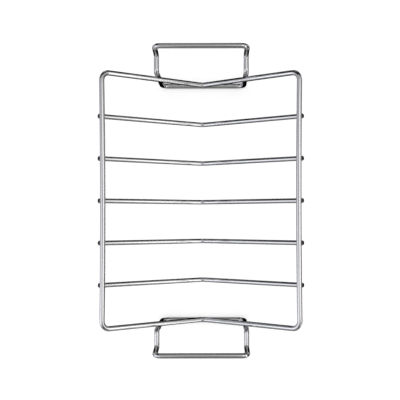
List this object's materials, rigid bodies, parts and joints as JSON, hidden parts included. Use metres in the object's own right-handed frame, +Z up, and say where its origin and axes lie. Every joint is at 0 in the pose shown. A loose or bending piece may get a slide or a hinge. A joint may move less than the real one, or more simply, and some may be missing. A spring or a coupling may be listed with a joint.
{
  "type": "roasting rack",
  "caption": "V-shaped cradle of bright bent steel wire with cross rungs under its rails, standing on stepped wire end loops that rise into handle bars.",
  "frame": {"origin": "on the surface that the rack stands on, under the middle of the rack", "axes": "+X across the rack, +Y along the rails towards the rear handle, +Z up"},
  "size_m": [0.2308, 0.3536, 0.1265],
  "materials": {
    "bright_wire": "bright plated round wire with faint drawing lines"
  },
  "bodies": {
    "root": {"frame": "bright_wire", "rung_1": "bright_wire", "rung_2": "bright_wire", "rung_3": "bright_wire", "rung_4": "bright_wire", "rung_5": "bright_wire", "rear_handle_foot": "bright_wire", "front_handle_foot": "bright_wire"}
  },
  "joints": []
}
